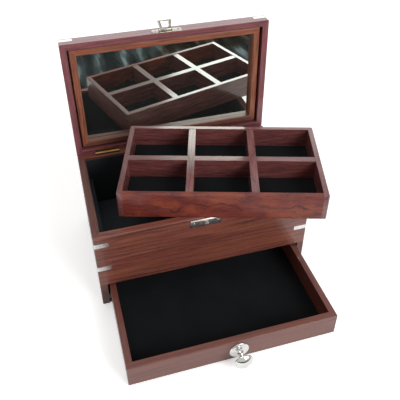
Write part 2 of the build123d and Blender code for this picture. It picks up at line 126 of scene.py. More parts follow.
# Rosewood: sawn and sanded boards under a rubbed satin varnish. Dark growth lines wander along a
# red-brown board, a few of them nearly black, with warmer patches, fine paler and darker fibre
# between them, and short pores.
rosewood = {
    "case": {
        "vein": "#2c1412", "deep": "#5a2e27", "body": "#7a4136", "light": "#8f5645", "patch": "#8a5138",
        "veinMm": 5.6, "veinDepth": 0.95, "wander": 2.8, "swirl": 0.5, "alongMm": 210.0, "lean": 28.0,
        "patchShare": 0.45, "coat": 0.7, "coatIor": 1.5, "ripple": 0.12,
    },
    "tray": {
        "vein": "#2a0e10", "deep": "#5a231e", "body": "#742f28", "light": "#863a2c", "patch": "#96462a",
        "veinMm": 8.0, "veinDepth": 0.95, "wander": 4.5, "swirl": 1.6, "alongMm": 80.0, "lean": 38.0,
        "patchShare": 0.7, "coat": 0.4, "coatIor": 1.5, "ripple": 0.12,
    },
    # Inside boards: the tray's wood tinted mauve-grey, a painted sheen of the varnish on the shaded inner
    # walls
    "trayInsideSheen": {
        "vein": "#2c1518", "deep": "#542b2b", "body": "#744040", "light": "#8c5450", "patch": "#82423a",
        "veinMm": 6.0, "veinDepth": 0.85, "wander": 3.2, "swirl": 1.0, "alongMm": 90.0, "lean": 30.0,
        "patchShare": 0.4, "coat": 0.8, "coatIor": 1.7, "ripple": 0.12,
    },
    "lid": {
        "vein": "#3a181c", "deep": "#64343a", "body": "#84484e", "light": "#985c5e", "patch": "#824a44",
        "veinMm": 4.6, "veinDepth": 0.7, "wander": 2.2, "swirl": 0.6, "alongMm": 150.0, "lean": 22.0,
        "patchShare": 0.4, "coat": 0.8, "coatIor": 1.5, "ripple": 0.12,
    },
    "moulding": {
        "vein": "#44211a", "deep": "#74402f", "body": "#94583f", "light": "#aa6c50", "patch": "#a45338",
        "veinMm": 4.0, "veinDepth": 0.75, "wander": 1.8, "swirl": 0.7, "alongMm": 120.0, "lean": 20.0,
        "patchShare": 0.5, "coat": 0.6, "coatIor": 1.5, "ripple": 0.12,
    },
    "drawer": {
        "vein": "#381a16", "deep": "#582c26", "body": "#6c372d", "light": "#7c4639", "patch": "#703e2d",
        "veinMm": 4.6, "veinDepth": 0.7, "wander": 1.8, "swirl": 0.4, "alongMm": 240.0, "lean": 24.0,
        "patchShare": 0.4, "coat": 0.6, "coatIor": 1.5, "ripple": 0.12,
    },
}
# Lower moulding: the moulding's colours made darker and its coat duller, painted shade where the tray shades
# the lid's lower rail
rosewood["mouldingPaintedShade"] = {
    **rosewood["moulding"], "body": "#74493a", "light": "#86594a", "patch": "#6e4a3a",
    # and a painted shadow line along the glass, this many mm wide
    "coat": 0.25, "glassShadowLine": 1.0,
}
rosewood["caseSide"] = {
    **rosewood["case"], "deep": "#4a2824", "body": "#603630", "light": "#70443a", "patch": "#6a4030",
    "coat": 0.4,
}
rosewood["trayLeft"] = {**rosewood["trayInsideSheen"], "ripple": 0.9}
varnish = {
    "roughness": 0.5, "specular": 0.3, "coatRoughness": 0.14,
    "fibreMm": 0.9, "fibreAlongMm": 34.0, "poreMm": 0.45, "poreAlongMm": 4.5,
}
grainAlong = {
    "x": (0.0, 0.0, 0.0),
    "y": (0.0, 0.0, -math.pi / 2),
    "z": (0.0, math.pi / 2, 0.0),
    "trayX": (0.0, 0.0, -trayTurn),
    "trayY": (0.0, 0.0, -trayTurn - math.pi / 2),
}


# The lid's frame starts a little behind and above the pin. The glass lies glassDepth into it.
hinge = {
    # the leaf colours are a painted dark reflection, and the band this far from the pin a painted glint
    "pinY": 77.2, "pinZ": 105.0, "lidBack": 3.0, "lidRise": 0.2, "glassDepth": 11.5, "pinGlintBand": 3.3,
    "leafPaintedReflection": ("#4a3a36", "#5e4a44"), "bright": ("#d8a850", "#fff0b0"),
}
intoLid = Vector((0.0, math.cos(lidLean), -math.sin(lidLean)))  # from the open lid's inside outwards
pinPlace = Vector((0.0, hinge["pinY"], hinge["pinZ"])) * metresPerMm
glassReach = intoLid.dot(pinPlace) + (hinge["lidBack"] + hinge["glassDepth"]) * metresPerMm


def makeRosewood(name, recipe, grain, shiftMm):
    look = rosewood[recipe]
    material, tree, output = startMaterial(name)
    place = addNode(tree, "ShaderNodeTexCoord").outputs["Object"]
    # millimetres, with X turned to run along the board, and each board cut from another place
    board = addNode(
        tree, "ShaderNodeMapping",
        {"Rotation": grainAlong[grain], "Scale": (1 / metresPerMm,) * 3, "Location": shiftMm},
        {"Vector": place},
    ).outputs["Vector"]

    def noise(alongMm, acrossMm, detail, roughness=0.5):
        stretched = addNode(
            tree, "ShaderNodeMapping",
            {"Scale": (1 / alongMm, 1 / acrossMm, 1 / acrossMm)}, {"Vector": board},
        )
        return addNode(
            tree, "ShaderNodeTexNoise",
            {"Scale": 1.0, "Detail": detail, "Roughness": roughness},
            {"Vector": stretched.outputs["Vector"]},
        ).outputs["Fac"]

    def join(kind, settings, values, result=0):
        # a node whose inputs are each a plain value or another node's output
        plain = {key: value for key, value in values.items() if not hasattr(value, "is_linked")}
        wired = {key: value for key, value in values.items() if hasattr(value, "is_linked")}
        return addNode(tree, kind, {**settings, **plain}, wired).outputs[result]

    def maths(operation, first, second=0.0):
        return join("ShaderNodeMath", {"operation": operation}, {0: first, 1: second})

    def mixColour(blend, share, first, second):
        settings = {"data_type": "RGBA", "blend_type": blend}
        return join("ShaderNodeMix", settings, {0: share, 6: first, 7: second}, 2)

    def span(value, low, high, toLow=0.0, toHigh=1.0):
        settings = {"From Min": low, "From Max": high, "To Min": toLow, "To Max": toHigh}
        return join("ShaderNodeMapRange", settings, {"Value": value})

    # growth rings: evenly spaced sheets that lean through the board and wander slowly along it
    parts = addNode(tree, "ShaderNodeSeparateXYZ", links={"Vector": board})
    lean = math.radians(look["lean"])
    across = maths(
        "ADD",
        maths("MULTIPLY", parts.outputs["Y"], math.sin(lean) / look["veinMm"]),
        maths("MULTIPLY", parts.outputs["Z"], math.cos(lean) / look["veinMm"]),
    )
    wander = maths("MULTIPLY", noise(look["alongMm"], look["veinMm"] * 5, 2.0, 0.4), look["wander"])
    swirl = maths("MULTIPLY", noise(look["alongMm"] * 0.22, look["veinMm"] * 1.6, 2.0), look["swirl"])
    ringPlace = maths("ADD", maths("ADD", across, wander), swirl)
    # a ring darkens slowly to its late wood and starts again pale, and some rings are nearly black
    darkening = ((0.0, "#909090"), (0.06, "#303030"), (0.3, "#000000"), (0.7, "#3c3c3c"), (0.95, "#ffffff"))
    late = addRamp(tree, maths("FRACT", ringPlace), darkening)
    finer = addRamp(tree, maths("FRACT", maths("MULTIPLY", ringPlace, 3.3)), darkening)
    ringNumber = maths("FLOOR", ringPlace)
    chance = join("ShaderNodeTexWhiteNoise", {"noise_dimensions": "1D"}, {"W": ringNumber}, "Value")
    fade = span(noise(look["alongMm"] * 0.5, look["veinMm"] * 2.0, 2.0), 0.3, 0.62)
    strength = maths("MULTIPLY", span(chance, 0.0, 1.0, 0.35, 1.0), fade)
    veinShare = maths("MULTIPLY", maths("MULTIPLY", late, strength), look["veinDepth"])
    fineShare = maths("MULTIPLY", maths("MULTIPLY", finer, fade), look["veinDepth"] * 0.6)

    tone = noise(look["alongMm"] * 0.3, look["veinMm"] * 0.5, 4.0, 0.6)
    colour = addRamp(tree, tone, ((0.28, look["deep"]), (0.48, look["body"]), (0.7, look["light"])))
    patch = span(noise(look["alongMm"] * 0.3, look["veinMm"] * 2.6, 3.0), 0.46, 0.62, 0.0, look["patchShare"])
    colour = mixColour("MIX", patch, colour, linearColour(look["patch"]))
    colour = mixColour("MIX", fineShare, colour, linearColour(look["vein"]))
    colour = mixColour("MIX", veinShare, colour, linearColour(look["vein"]))

    if "glassShadowLine" in look:
        # painted shadow: a thin near-black line in the corner where the wood meets the glass
        depth = addNode(
            tree, "ShaderNodeVectorMath", {"operation": "DOT_PRODUCT", 1: intoLid}, {0: place},
        ).outputs["Value"]
        glassShadowWidth = look["glassShadowLine"] * metresPerMm
        glassShadowLine = span(depth, glassReach - glassShadowWidth, glassReach - 0.6 * glassShadowWidth)
        colour = mixColour("MIX", glassShadowLine, colour, linearColour("#140c0a"))

    # fine fibre, then the pores
    fibre = noise(varnish["fibreAlongMm"], varnish["fibreMm"], 3.0, 0.65)
    colour = mixColour("MULTIPLY", 0.55, colour, addRamp(tree, fibre, ((0.3, "#a89c9a"), (0.65, "#ffffff"))))
    pore = span(noise(varnish["poreAlongMm"], varnish["poreMm"], 1.0), 0.62, 0.75)
    colour = mixColour("MULTIPLY", maths("MULTIPLY", pore, 0.6), colour, linearColour("#4a2c28"))

    rough = span(fibre, 0.3, 0.7, varnish["roughness"] - 0.05, varnish["roughness"] + 0.08)
    grainHeight = maths("SUBTRACT", maths("MULTIPLY", fibre, 0.4), pore)
    bare = addNode(tree, "ShaderNodeBump", {"Strength": 0.3, "Distance": 0.00006}, {"Height": grainHeight})
    # the varnish levels the pores but keeps a faint ripple
    ripple = addNode(
        tree, "ShaderNodeTexNoise", {"Scale": 0.35, "Detail": 2.0}, {"Vector": board},
    ).outputs["Fac"]
    film = addNode(
        tree, "ShaderNodeBump", {"Strength": look["ripple"], "Distance": 0.0001}, {"Height": ripple},
    )
    shader = addNode(
        tree, "ShaderNodeBsdfPrincipled",
        {
            "Coat Weight": look["coat"], "Coat IOR": look["coatIor"],
            "Coat Roughness": varnish["coatRoughness"], "Specular IOR Level": varnish["specular"],
        },
        {
            "Base Color": colour, "Roughness": rough, "Normal": bare.outputs["Normal"],
            "Coat Normal": film.outputs["Normal"],
        },
    )
    tree.links.new(shader.outputs["BSDF"], output.inputs["Surface"])
    return material


def makeFelt(name, dark, light):
    # Wool felt: matted fibre, dyed near black, so it takes light and gives almost none back
    material, tree, output = startMaterial(name)
    place = addNode(tree, "ShaderNodeTexCoord").outputs["Object"]
    fibre = addNode(
        tree, "ShaderNodeTexNoise", {"Scale": 1 / (0.5 * metresPerMm), "Detail": 4.0, "Roughness": 0.7},
        {"Vector": place},
    ).outputs["Fac"]
    wear = addNode(
        tree, "ShaderNodeTexNoise", {"Scale": 1 / (45 * metresPerMm), "Detail": 2.0}, {"Vector": place},
    ).outputs["Fac"]
    colour = addRamp(tree, fibre, ((0.25, dark), (0.8, light)))
    tone = addRamp(tree, wear, ((0.3, "#e4e4e4"), (0.7, "#ffffff")))
    both = addNode(
        tree, "ShaderNodeMix", {"data_type": "RGBA", "blend_type": "MULTIPLY", 0: 1.0},
        {6: colour, 7: tone},
    ).outputs[2]
    bump = addNode(tree, "ShaderNodeBump", {"Strength": 0.5, "Distance": 0.0002}, {"Height": fibre})
    shader = addNode(
        tree, "ShaderNodeBsdfPrincipled",
        {"Roughness": 1.0, "Specular IOR Level": 0.0, "Sheen Weight": 0.03, "Sheen Roughness": 0.5},
        {"Base Color": both, "Normal": bump.outputs["Normal"]},
    )
    tree.links.new(shader.outputs["BSDF"], output.inputs["Surface"])
    return material


def makeMetal(name, light, dark, roughness, cloudMm):
    # plated sheet and turned metal: a bright skin with faint cloudy handling marks
    material, tree, output = startMaterial(name)
    place = addNode(tree, "ShaderNodeTexCoord").outputs["Object"]
    cloud = addNode(
        tree, "ShaderNodeTexNoise", {"Scale": 1 / (cloudMm * metresPerMm), "Detail": 3.0}, {"Vector": place},
    ).outputs["Fac"]
    colour = addRamp(tree, cloud, ((0.3, dark), (0.7, light)))
    rough = addNode(
        tree, "ShaderNodeMapRange", {"To Min": roughness * 0.7, "To Max": roughness * 1.3}, {"Value": cloud},
    ).outputs["Result"]
    shader = addNode(
        tree, "ShaderNodeBsdfPrincipled", {"Metallic": 1.0}, {"Base Color": colour, "Roughness": rough},
    )
    tree.links.new(shader.outputs["BSDF"], output.inputs["Surface"])
    return material


def makeBrassPaintedGlint():
    # Cabinet brass: the leaves painted dark, a painted reflection of the dark room, and a painted glint in a
    # band along the pin
    material, tree, output = startMaterial("cabinetBrassPaintedGlint")
    place = addNode(tree, "ShaderNodeTexCoord").outputs["Object"]
    fromPin = addNode(
        tree, "ShaderNodeMapping",
        {"Location": (0.0, -hinge["pinY"] * metresPerMm, -hinge["pinZ"] * metresPerMm)}, {"Vector": place},
    ).outputs["Vector"]
    flat = addNode(
        tree, "ShaderNodeVectorMath", {"operation": "MULTIPLY", 1: (0, 1, 1)}, {0: fromPin},
    ).outputs[0]
    reach = addNode(tree, "ShaderNodeVectorMath", {"operation": "LENGTH"}, {0: flat}).outputs["Value"]
    cloud = addNode(
        tree, "ShaderNodeTexNoise", {"Scale": 1 / (2.0 * metresPerMm), "Detail": 3.0}, {"Vector": place},
    ).outputs["Fac"]
    # painted glint: the bright band along the pin; the rest of the leaf is painted dark reflection
    pinGlintBand = addNode(
        tree, "ShaderNodeMapRange",
        {
            "From Min": hinge["pinGlintBand"] * metresPerMm, "From Max": (hinge["pinGlintBand"] + 0.3) * metresPerMm,
            "To Min": 1.0, "To Max": 0.0,
        },
        {"Value": reach},
    ).outputs["Result"]
    leafPaintedReflection = addRamp(tree, cloud, ((0.3, hinge["leafPaintedReflection"][0]), (0.7, hinge["leafPaintedReflection"][1])))
    bright = addRamp(tree, cloud, ((0.3, hinge["bright"][0]), (0.7, hinge["bright"][1])))
    colour = addNode(
        tree, "ShaderNodeMix", {"data_type": "RGBA", "blend_type": "MIX"}, {0: pinGlintBand, 6: leafPaintedReflection, 7: bright}
    ).outputs[2]
    rough = addNode(
        tree, "ShaderNodeMapRange", {"To Min": 0.34, "To Max": 0.55}, {"Value": pinGlintBand}
    ).outputs["Result"]
    shader = addNode(
        tree, "ShaderNodeBsdfPrincipled", {"Metallic": 1.0}, {"Base Color": colour, "Roughness": rough},
    )
    tree.links.new(shader.outputs["BSDF"], output.inputs["Surface"])
    return material


def makeMirror():
    # Silvered float glass: a near perfect reflection, the faint green of the glass and a little dust
    material, tree, output = startMaterial("silveredGlass")
    place = addNode(tree, "ShaderNodeTexCoord").outputs["Object"]
    film = addNode(
        tree, "ShaderNodeTexNoise", {"Scale": 1 / (30 * metresPerMm), "Detail": 3.0}, {"Vector": place},
    ).outputs["Fac"]
    colour = addRamp(tree, film, ((0.3, "#ced8d0"), (0.7, "#dae2da")))
    shader = addNode(
        tree, "ShaderNodeBsdfPrincipled", {"Metallic": 0.985, "Roughness": 0.015}, {"Base Color": colour},
    )
    tree.links.new(shader.outputs["BSDF"], output.inputs["Surface"])
    return material


def makeCard():
    # Grey board behind the glass: pressed paper pulp, soft and matt
    material, tree, output = startMaterial("greyBoard")
    place = addNode(tree, "ShaderNodeTexCoord").outputs["Object"]
    pulp = addNode(
        tree, "ShaderNodeTexNoise", {"Scale": 1 / (1.5 * metresPerMm), "Detail": 5.0}, {"Vector": place},
    ).outputs["Fac"]
    colour = addRamp(tree, pulp, ((0.3, "#4f4b45"), (0.7, "#68635b")))
    shader = addNode(tree, "ShaderNodeBsdfPrincipled", {"Roughness": 0.9}, {"Base Color": colour})
    tree.links.new(shader.outputs["BSDF"], output.inputs["Surface"])
    return material


# Which finish each piece has. A wooden piece also has its recipe, its grain and where it was cut.
woodPieces = {
    "case_front_panel": ("case", "x", (40, 12, 5)),
    "case_back_panel": ("case", "x", (310, 52, 31)),
    "case_left_panel": ("caseSide", "y", (95, 33, 74)),
    "case_right_panel": ("caseSide", "y", (505, 71, 12)),
    "compartment_floor": ("case", "x", (700, 15, 60)),
    "base_panel": ("case", "x", (820, 45, 25)),
    "drawer_guide_left": ("case", "y", (905, 4, 3)),
    "drawer_guide_right": ("case", "y", (960, 9, 8)),
    "lid_front_rail": ("lid", "x", (120, 60, 35)),
    "lid_back_rail": ("lid", "x", (420, 20, 90)),
    "lid_left_rail": ("lid", "z", (230, 66, 14)),
    "lid_right_rail": ("lid", "z", (640, 28, 47)),
    "lid_top_panel": ("case", "x", (1300, 80, 16)),
    "mirror_moulding_front": ("moulding", "x", (15, 25, 70)),
    "mirror_moulding_back": ("mouldingPaintedShade", "x", (365, 43, 12)),
    "mirror_moulding_left": ("moulding", "z", (540, 8, 31)),
    "mirror_moulding_right": ("moulding", "z", (790, 52, 7)),
    "drawer_front": ("drawer", "x", (64, 18, 44)),
    "drawer_back": ("drawer", "x", (335, 47, 9)),
    "drawer_left": ("drawer", "y", (610, 5, 26)),
    "drawer_right": ("drawer", "y", (860, 38, 62)),
    "drawer_bottom": ("case", "x", (1500, 10, 10)),
    "tray_front": ("tray", "trayX", (22, 90, 38)),
    "tray_back": ("trayInsideSheen", "trayX", (280, 34, 75)),
    "tray_left": ("trayLeft", "trayY", (560, 61, 17)),
    "tray_right": ("trayInsideSheen", "trayY", (830, 13, 52)),
    "tray_long_divider": ("trayInsideSheen", "trayX", (1120, 77, 6)),
    "tray_cross_divider_left": ("trayInsideSheen", "trayY", (1390, 24, 33)),
    "tray_cross_divider_right": ("trayInsideSheen", "trayY", (1640, 49, 69)),
    "tray_bottom": ("case", "trayX", (1900, 20, 20)),
}
for name, (recipe, grain, shiftMm) in woodPieces.items():
    finish = makeRosewood("rosewood_" + name, recipe, grain, shiftMm)
    nodes[name].data.materials.clear()
    nodes[name].data.materials.append(finish)
print("rosewood boards finished:", len(woodPieces))

felt = makeFelt("blackWoolFelt", "#0e0f10", "#242628")
# lining: the same black felt in lighter colours, painted light for the unlit inside of the case
liningFeltPaintedLight = makeFelt("blackLiningFeltPaintedLight", "#26282a", "#4a4d50")
chrome = makeMetal("chromedMetal", "#d8d8d5", "#c8c8c5", 0.12, 6.0)
plated = makeMetal("nickelPlatedSheet", "#b8b2a8", "#837d74", 0.22, 2.0)
aluminium = makeMetal("sandedAluminium", "#e2e2e2", "#cccccc", 0.3, 3.0)
satin = makeMetal("satinNickelSheet", "#cac2be", "#8e8886", 0.4, 1.4)
brass = makeBrassPaintedGlint()
mirror = makeMirror()
card = makeCard()


def finishOf(name):
    if "hinge" in name:
        return brass
    if name.startswith("knob"):
        return chrome
    if "catch" in name:
        return plated
    if "keys" in name:
        return aluminium
    if name.startswith(("lining", "tray_rest", "compartment_felt")):
        return liningFeltPaintedLight
    if "felt" in name:
        return felt
    return {"mirror_glass": mirror, "mirror_card": card}[name]


for name, node in nodes.items():
    if name not in woodPieces:
        node.data.materials.clear()
        node.data.materials.append(finishOf(name))
print("felt, metal and glass finished")


# Fittings shaped over the plain solids

def beginShape(name):
    shape = bpy.context.object
    shape.name = name
    bpy.ops.object.mode_set(mode="EDIT")
    bpy.ops.mesh.select_all(action="SELECT")
    return shape


def pick(shape, kind, wanted):
    # selects the vertices, edges or faces whose every corner is wanted
    bpy.ops.mesh.select_mode(type=kind)
    bpy.ops.mesh.select_all(action="DESELECT")
    bpy.ops.object.mode_set(mode="OBJECT")
    points = shape.data.vertices
    if kind == "VERT":
        for point in points:
            point.select = wanted(point.co / metresPerMm)
    else:
        items = shape.data.edges if kind == "EDGE" else shape.data.polygons
        for item in items:
            ends = [points[index].co / metresPerMm for index in item.vertices]
            item.select = all(wanted(end) for end in ends)
    bpy.ops.object.mode_set(mode="EDIT")


def addBar(name, low, high, roundMm):
    # a block between two corners with softened edges
    bpy.ops.object.select_all(action="DESELECT")
    bpy.ops.mesh.primitive_cube_add(size=1)
    bar = beginShape(name)
    size = [(b - a) * metresPerMm for a, b in zip(low, high)]
    middle = [(a + b) / 2 * metresPerMm for a, b in zip(low, high)]
    bpy.ops.transform.resize(value=size, center_override=(0, 0, 0))
    bpy.ops.transform.translate(value=middle)
    bpy.ops.mesh.bevel(offset=roundMm * metresPerMm, segments=3, affect="EDGES")
    bpy.ops.object.mode_set(mode="OBJECT")
    return bar


def addRod(name, radius, start, length, roundMm):
    # a round bar along X with softened rims
    bpy.ops.object.select_all(action="DESELECT")
    bpy.ops.mesh.primitive_cylinder_add(
        vertices=32, radius=radius * metresPerMm, depth=length * metresPerMm, rotation=(0, math.pi / 2, 0)
    )
    bpy.ops.object.transform_apply(location=False, rotation=True, scale=False)
    rod = beginShape(name)
    bpy.ops.transform.translate(value=[
        (start[0] + length / 2) * metresPerMm, start[1] * metresPerMm, start[2] * metresPerMm
    ])
    ends = (start[0], start[0] + length)
    pick(rod, "EDGE", lambda end: min(abs(end.x - ends[0]), abs(end.x - ends[1])) < 0.01)
    bpy.ops.mesh.bevel(offset=roundMm * metresPerMm, segments=3, affect="EDGES")
    bpy.ops.object.mode_set(mode="OBJECT")
    return rod


def joinShapes(name, shapes):
    bpy.ops.object.select_all(action="DESELECT")
    for shape in shapes:
        shape.select_set(True)
    bpy.context.view_layer.objects.active = shapes[0]
    bpy.ops.object.join()
    shapes[0].name = name
    return shapes[0]


def fitPiece(piece, place, material, body, slot, *replaced):
    # sets a finished shape where it belongs, with its place in its mesh
    bpy.ops.object.select_all(action="DESELECT")
    piece.select_set(True)
    bpy.context.view_layer.objects.active = piece
    piece.matrix_world = place
    bpy.ops.object.transform_apply(location=True, rotation=True, scale=True)
    bpy.ops.object.mode_set(mode="EDIT")
    bpy.ops.mesh.select_all(action="SELECT")
    bpy.ops.mesh.normals_make_consistent(inside=False)
    bpy.ops.object.mode_set(mode="OBJECT")
    bpy.ops.object.shade_smooth_by_angle(angle=math.radians(40))
    piece.data.materials.clear()
    piece.data.materials.append(material)
    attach(piece, body)
    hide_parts(*replaced)


def shift(x, y, z):
    return Matrix.Translation((x * metresPerMm, y * metresPerMm, z * metresPerMm))


lidPlace = (
    shift(0, hinge["pinY"], hinge["pinZ"]) @ Matrix.Rotation(-lidLean, 4, "X")
    @ shift(0, hinge["lidBack"], hinge["lidRise"])
)

# Knob: turned from bar and plated. Each profile is (radius, reach), from the drawer front outwards.
knob = {
    "x": 3.2, "front": -188.0, "height": 14.9, "sides": 48,
    "flange": (
        (10.9, 0.0), (11.0, 0.5), (10.8, 1.0), (10.2, 1.35), (9.0, 1.5), (6.4, 1.6), (5.4, 1.9),
        (4.9, 2.3), (4.4, 2.4),
    ),
    "handle": (
        (4.2, 1.4), (4.3, 2.0), (3.7, 2.9), (3.2, 4.0), (2.95, 5.2), (2.9, 6.4), (3.1, 7.8), (3.7, 9.4),
        (4.9, 11.0), (6.8, 12.5), (8.8, 13.5), (10.0, 13.9), (10.35, 14.1), (10.45, 14.7),
        (10.4, 15.4), (10.0, 16.1), (9.0, 17.2), (7.6, 18.3), (5.8, 19.3), (3.8, 20.0), (1.8, 20.4),
        (0.6, 20.5),
    ),
}


def turnOnLathe(name, profile):
    radius, reach = profile[0]
    bpy.ops.object.select_all(action="DESELECT")
    bpy.ops.mesh.primitive_circle_add(vertices=knob["sides"], radius=radius * metresPerMm, fill_type="NGON")
    turned = beginShape(name)
    bpy.ops.transform.translate(value=(0, 0, reach * metresPerMm))
    for nextRadius, nextReach in profile[1:]:
        bpy.ops.mesh.extrude_region_move(
            TRANSFORM_OT_translate={"value": (0, 0, (nextReach - reach) * metresPerMm)}
        )
        grow = nextRadius / radius
        bpy.ops.transform.resize(value=(grow, grow, 1), center_override=(0, 0, 0))
        radius, reach = nextRadius, nextReach
    bpy.ops.object.mode_set(mode="OBJECT")
    rounding = turned.modifiers.new("rounding", "SUBSURF")
    rounding.levels = rounding.render_levels = 2
    bpy.ops.object.modifier_apply(modifier="rounding")
    return turned


knobPlace = shift(knob["x"], knob["front"], knob["height"]) @ Matrix.Rotation(math.pi / 2, 4, "X")
flange = turnOnLathe("knobFlange", knob["flange"])
fitPiece(flange, knobPlace, chrome, "drawer", "bright_metal", "knob_backplate")
handle = turnOnLathe("knobHandle", knob["handle"])
fitPiece(handle, knobPlace, chrome, "drawer", "bright_metal", "knob")
print("knob turned")

# Catch plate on the lid's front edge: pressed sheet with two lugs that hold the loop's pin
lidCatch = {
    "left": -18.8, "right": 17.2, "near": 0.3, "far": 10.9, "foot": 154.0, "top": 154.8,
    "farRound": 4.5, "edgeRound": 0.22, "pinDepth": 4.0, "pinHeight": 156.4, "loopMiddle": -1.8,
    "lugStart": 6.7, "lugWidth": 2.2, "lugRadius": 1.3, "lugRound": 0.2, "lugSink": 0.1,
}


def makeLidCatch():
    look = lidCatch
    bpy.ops.object.select_all(action="DESELECT")
    bpy.ops.mesh.primitive_cube_add(size=1)
    plate = beginShape("catchPlate")
    size = (look["right"] - look["left"], look["far"] - look["near"], look["top"] - look["foot"])
    middle = (look["right"] + look["left"], look["far"] + look["near"], look["top"] + look["foot"])
    bpy.ops.transform.resize(value=[side * metresPerMm for side in size], center_override=(0, 0, 0))
    bpy.ops.transform.translate(value=[place / 2 * metresPerMm for place in middle])
    for x in (look["left"], look["right"]):
        pick(plate, "EDGE", lambda end: end.y > look["far"] - 0.01 and abs(end.x - x) < 0.01)
        bpy.ops.mesh.bevel(offset=look["farRound"] * metresPerMm, segments=8, affect="EDGES")
    pick(plate, "EDGE", lambda end: end.z > look["top"] - 0.01)
    bpy.ops.mesh.bevel(offset=look["edgeRound"] * metresPerMm, segments=2, affect="EDGES")
    bpy.ops.object.mode_set(mode="OBJECT")
    shapes = [plate]
    for side in (-1, 1):
        near = look["loopMiddle"] + side * look["lugStart"]
        start = min(near, near + side * look["lugWidth"])
        eye = (start, look["pinDepth"], look["pinHeight"])
        shapes.append(addRod("lugEye", look["lugRadius"], eye, look["lugWidth"], look["lugRound"]))
        low = (start, look["pinDepth"] - look["lugRadius"], look["top"] - look["lugSink"])
        high = (start + look["lugWidth"], look["pinDepth"] + look["lugRadius"], look["pinHeight"])
        shapes.append(addBar("lugFoot", low, high, look["lugRound"]))
    fitPiece(joinShapes("catchPlate", shapes), lidPlace, plated, "lid", "bright_metal", "catch_lid_plate")


# Catch loop: a stamped frame with rounded rails, rolled round its pin at the foot
loop = {
    "footHalf": 6.5, "endHalf": 8.85, "neck": 1.5, "length": 12.2, "bar": 1.4, "rail": 3.4,
    "thickness": 1.2, "railRound": 0.5, "rollRadius": 1.3, "rollRound": 0.25,
    "neckHalf": 0.55, "neckStart": 0.2, "neckLap": 0.6, "neckRound": 0.2,
}


def makeLoop():
    look = loop
    bpy.ops.object.select_all(action="DESELECT")
    bpy.ops.mesh.primitive_plane_add(size=1, rotation=(math.pi / 2, 0, 0))
    bpy.ops.object.transform_apply(location=False, rotation=True, scale=False)
    frame = beginShape("catchLoopFrame")
    tall = look["length"] - look["neck"]
    bpy.ops.transform.resize(
        value=(2 * look["footHalf"] * metresPerMm, 1, tall * metresPerMm), center_override=(0, 0, 0)
    )
    bpy.ops.transform.translate(value=(0, 0, (look["neck"] + look["length"]) / 2 * metresPerMm))
    pick(frame, "VERT", lambda end: end.z > look["length"] - 0.01)
    widen = look["endHalf"] / look["footHalf"]
    bpy.ops.transform.resize(value=(widen, 1, 1), center_override=(0, 0, 0))
    pick(frame, "FACE", lambda end: True)
    bpy.ops.mesh.inset(thickness=look["bar"] * metresPerMm)
    narrow = 1 - (look["rail"] - look["bar"]) / look["footHalf"]
    bpy.ops.transform.resize(value=(narrow, 1, 1), center_override=(0, 0, 0))
    bpy.ops.mesh.delete(type="FACE")
    bpy.ops.mesh.select_all(action="SELECT")
    bpy.ops.transform.translate(value=(0, -look["thickness"] / 2 * metresPerMm, 0))
    bpy.ops.mesh.extrude_region_move(
        TRANSFORM_OT_translate={"value": (0, look["thickness"] * metresPerMm, 0)}
    )
    bpy.ops.mesh.select_all(action="SELECT")
    bpy.ops.mesh.bevel(
        offset=look["railRound"] * metresPerMm, segments=3, affect="EDGES", clamp_overlap=True
    )
    bpy.ops.object.mode_set(mode="OBJECT")
    foot = -look["footHalf"]
    roll = addRod(
        "catchLoopRoll", look["rollRadius"], (foot, 0, 0), 2 * look["footHalf"], look["rollRound"]
    )
    neck = addBar(
        "catchLoopNeck", (foot, -look["neckHalf"], look["neckStart"]),
        (-foot, look["neckHalf"], look["neck"] + look["neckLap"]), look["neckRound"]
    )
    loopPlace = (
        lidPlace @ shift(lidCatch["loopMiddle"], lidCatch["pinDepth"], lidCatch["pinHeight"])
        @ Matrix.Rotation(-loopLean, 4, "X")
    )
    shape = joinShapes("catchLoopPressing", [frame, roll, neck])
    fitPiece(shape, loopPlace, plated, "catch_loop", "bright_metal", "catch_loop")


# Hook plate on the case front: a folded lip along its top and a forked hook in its middle
hookPlate = {
    "left": -18.8, "right": 17.2, "low": 95.6, "high": 106.2, "face": -77.8, "wood": -77.0,
    "sheetRound": 0.25,
    "lipWidth": 1.5, "lipThick": 0.5, "lipReach": 0.7, "lipDrop": 1.1, "lipLean": 35.0, "lipRound": 0.12,
    "hookLeft": -3.3, "hookRight": 1.7, "hookTop": 102.6, "hookFoot": 99.2, "hookTip": -81.4,
    "thick": 1.1, "slot": 1.2, "hookRound": 0.35, "hookLap": 0.2, "prongLap": 0.1,
}


def makeLip():
    # the plate's top edge, folded out to a narrow flat that leans back and catches the window
    look = hookPlate
    half = look["lipWidth"] / 2
    lip = addBar(
        "hookLip", (look["left"], -look["lipThick"], -half), (look["right"], 0, half), look["lipRound"]
    )
    lip.matrix_world = (
        shift(0, look["face"] - look["lipReach"] / 2, look["high"] - look["lipDrop"] / 2)
        @ Matrix.Rotation(-math.radians(look["lipLean"]), 4, "X")
    )
    bpy.ops.object.transform_apply(location=True, rotation=True, scale=False)
    return lip


